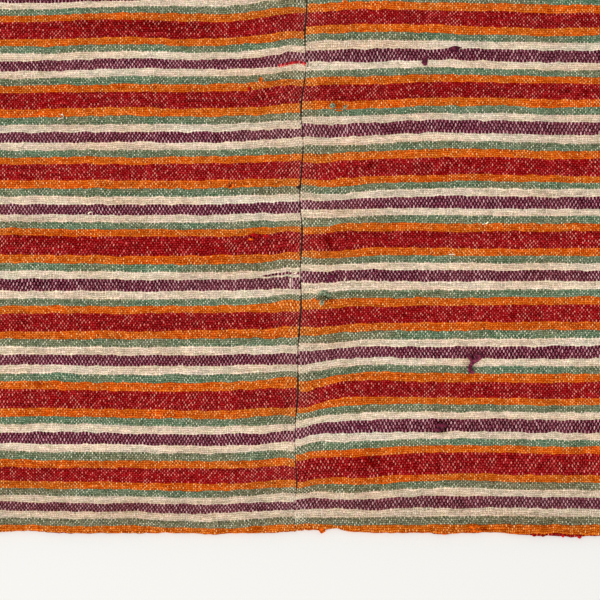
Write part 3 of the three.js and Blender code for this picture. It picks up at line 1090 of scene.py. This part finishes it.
# Thick places in the weft: where, and how far each way
thickPlaces = [
    {"yarn": "purple", "across": 78.5, "up": 63.0, "wide": 8.0, "tall": 2.4},
    {"yarn": "purple", "across": 76.6, "up": 60.6, "wide": 7.0, "tall": 2.2},
    {"yarn": "purple", "across": 33.0, "up": 62.6, "wide": 7.0, "tall": 1.8},
    {"yarn": "purple", "across": 17.6, "up": 145.6, "wide": 8.0, "tall": 2.0},
    {"yarn": "purple", "across": 16.2, "up": 143.4, "wide": 6.0, "tall": 1.8},
    {"yarn": "purple", "across": 99.4, "up": 102.0, "wide": 8.0, "tall": 2.2},
    {"yarn": "purple", "across": 86.2, "up": 272.4, "wide": 7.6, "tall": 2.0},
    {"yarn": "purple", "across": 85.0, "up": 270.9, "wide": 7.0, "tall": 1.8},
    {"yarn": "orange", "across": 96.0, "up": 6.8, "wide": 8.0, "tall": 2.0},
    {"yarn": "orange", "across": 97.6, "up": 4.6, "wide": 7.0, "tall": 1.8},
    {"yarn": "orange", "across": -27.2, "up": 166.2, "wide": 3.6, "tall": 1.4},
    {"yarn": "orange", "across": 21.4, "up": 237.6, "wide": 5.0, "tall": 1.2},
    {"yarn": "red", "across": -25.3, "up": 168.6, "wide": 5.0, "tall": 2.0},
    {"yarn": "red", "across": -18.9, "up": 168.1, "wide": 5.4, "tall": 1.3},
]

# Tangles and knots: where, how far each way, the yarn's radius and how many bends it has
tangles = [
    {"yarn": "purple", "across": 69.1, "up": 264.9, "wide": 2.6, "tall": 4.2, "radius": 0.34, "bends": 8},
    {"yarn": "purple", "across": 87.0, "up": 271.6, "wide": 3.0, "tall": 2.0, "radius": 0.3, "bends": 5},
    {"yarn": "orange", "across": -21.7, "up": 254.2, "wide": 2.4, "tall": 2.6, "radius": 0.3, "bends": 5},
    {"yarn": "orange", "across": 7.8, "up": 132.6, "wide": 1.8, "tall": 2.2, "radius": 0.22, "bends": 5},
    {"yarn": "orange", "across": 26.6, "up": 239.0, "wide": 2.0, "tall": 1.6, "radius": 0.26, "bends": 4},
    {"yarn": "orange", "across": 25.0, "up": 297.6, "wide": 3.0, "tall": 2.4, "radius": 0.3, "bends": 5},
    {"yarn": "orange", "across": 12.3, "up": 4.9, "wide": 2.8, "tall": 2.2, "radius": 0.42, "bends": 6},
    {"yarn": "orange", "across": 80.0, "up": 3.2, "wide": 2.4, "tall": 1.2, "radius": 0.3, "bends": 4},
    {"yarn": "red", "across": -28.1, "up": 249.6, "wide": 1.6, "tall": 2.0, "radius": 0.28, "bends": 4},
    {"yarn": "red", "across": 129.6, "up": 2.2, "wide": 2.2, "tall": 1.0, "radius": 0.3, "bends": 4},
    {"yarn": "red", "across": 134.6, "up": 2.0, "wide": 1.6, "tall": 0.9, "radius": 0.3, "bends": 3},
    {"yarn": "red", "across": 145.6, "up": 1.7, "wide": 1.4, "tall": 1.2, "radius": 0.3, "bends": 3},
    {"yarn": "red", "across": 155.0, "up": 1.2, "wide": 2.0, "tall": 1.6, "radius": 0.36, "bends": 4},
    {"yarn": "green", "across": 13.2, "up": 136.2, "wide": 5.0, "tall": 2.6, "radius": 0.2, "bends": 8},
    {"yarn": "green", "across": 16.2, "up": 134.8, "wide": 3.2, "tall": 2.2, "radius": 0.2, "bends": 5},
    {"yarn": "sage", "across": 12.1, "up": 131.2, "wide": 2.8, "tall": 2.4, "radius": 0.22, "bends": 5},
    # a pale dash on the green tuft's top: a painted highlight, made as a short pale yarn
    {"yarn": "sage", "across": 13.8, "up": 135.5, "wide": 3.0, "tall": 0.6, "radius": 0.2, "bends": 2},
    {"yarn": "sage", "across": 18.1, "up": 240.5, "wide": 2.8, "tall": 2.6, "radius": 0.24, "bends": 5},
    {"yarn": "green", "across": 18.1, "up": 240.4, "wide": 0.9, "tall": 0.9, "radius": 0.3, "bends": 3},
    {"yarn": "sage", "across": 25.4, "up": 239.6, "wide": 2.0, "tall": 1.8, "radius": 0.22, "bends": 4},
]

# A small darn beside the seam: red stitches along a shallow arc
redDarn = {
    "arc": [
        {"across": -11.4, "up": 262.3},
        {"across": -7.6, "up": 263.0},
        {"across": -2.8, "up": 264.1},
        {"across": 0.6, "up": 264.0},
        {"across": 2.6, "up": 263.2},
    ],
    "every": 1.15,
    "tall": 1.55,
    "lean": 0.3,
    "radius": 0.32,
}


def darnStitches():
    routes = []
    for across in np.arange(-11.4, 2.6, redDarn["every"]):
        up = float(readTable(redDarn["arc"], "across", "up", across))
        face = faceAt(across, up)
        low, high = up - redDarn["tall"] / 2, up + redDarn["tall"] / 2
        radius = redDarn["radius"]
        routes.append([
            (across, low, face - 0.8 * radius, radius),
            (across + redDarn["lean"] * 0.3, low + 0.2, face + radius, radius),
            (across + redDarn["lean"] * 0.7, high - 0.2, face + radius, radius),
            (across + redDarn["lean"], high, face - 0.8 * radius, radius),
        ])
    return routes


def makeLooseYarns():
    routes = {yarn: [] for yarn in looseColours}
    routes["plum"] += twist(lieOnCloth(looseEnds["purple"], 0.95, 0.9), 3, 4.0)
    routes["purple"] += twist(lieOnCloth(looseEnds["purpleArmAndShade"], 0.8, 0.5), 2, 3.4)
    routes["orange"].append(lieOnCloth(looseEnds["orange"], 0.46, 1.8))
    for name in ("creamCurl", "creamHook", "creamBend", "creamDash", "creamFork", "creamBare", "creamSlant"):
        routes["cream"].append(lieOnCloth(looseEnds[name], 0.34, 1.3))
    for place in thickPlaces:
        routes[place["yarn"]] += thickPlace(place["across"], place["up"], place["wide"], place["tall"])
    for number, knot in enumerate(tangles):
        size = (knot["wide"], knot["tall"], knot["radius"], knot["bends"])
        routes[knot["yarn"]].append(tangle(knot["across"], knot["up"], *size, 40 + number))
    routes["mend"] += darnStitches()
    for yarn, colour in looseColours.items():
        layYarns(yarn + "Yarn", routes[yarn], yarnFinish(yarn + "_yarn", colour, 0.6))


looseColours = {
    "purple": linear(98, 34, 54),
    "plum": linear(122, 50, 72),
    "orange": linear(222, 98, 16),
    "red": linear(172, 14, 20),
    "mend": linear(232, 28, 38),
    "green": linear(122, 140, 112),
    "sage": linear(146, 158, 128),
    "cream": linear(246, 224, 196),
}

print("seam and loose yarn")
sewSeam()
makeLooseYarns()


# Camera straight above the photographed part of the cloth
view = {"width": 333.3, "across": 0.0, "up": 132.5, "lens": 100}


def makeCamera():
    camera = bpy.data.cameras.new("camera")
    camera.lens = view["lens"]
    distance = view["width"] * camera.lens / camera.sensor_width
    holder = bpy.data.objects.new("camera", camera)
    holder.location = toFrame(view["across"], view["up"], distance)
    camera.clip_start = 0.01
    camera.clip_end = 50
    bpy.context.collection.objects.link(holder)
    bpy.context.scene.camera = holder


studio = {"floorSize": 8, "floor": linear(239, 238, 235), "lightSize": 4.0, "light": 200, "sky": 0.59}


def makeStudio():
    deselectAll()
    bpy.ops.mesh.primitive_plane_add(size=studio["floorSize"])
    floor = bpy.context.object
    floor.name = "floor"
    paper = Finish("paper")
    paper.shader.inputs["Base Color"].default_value = studio["floor"]
    paper.shader.inputs["Roughness"].default_value = 0.9
    paper.shader.inputs["Specular IOR Level"].default_value = 0.1
    floor.data.materials.append(paper.material)
    lamp = bpy.data.lights.new("window", "AREA")
    lamp.size = studio["lightSize"]
    lamp.energy = studio["light"]
    holder = bpy.data.objects.new("window", lamp)
    holder.location = (-2.5, -2.25, 4.25)
    aim = Vector((0, 0, 0)) - holder.location
    holder.rotation_euler = aim.to_track_quat("-Z", "Y").to_euler()
    bpy.context.collection.objects.link(holder)
    world = bpy.data.worlds.new("world")
    world.use_nodes = True
    background = world.node_tree.nodes["Background"]
    background.inputs["Color"].default_value = (1.0, 0.995, 0.98, 1)
    background.inputs["Strength"].default_value = studio["sky"]
    bpy.context.scene.world = world
    bpy.context.scene.view_settings.view_transform = "Standard"


makeCamera()
makeStudio()
print("studio")
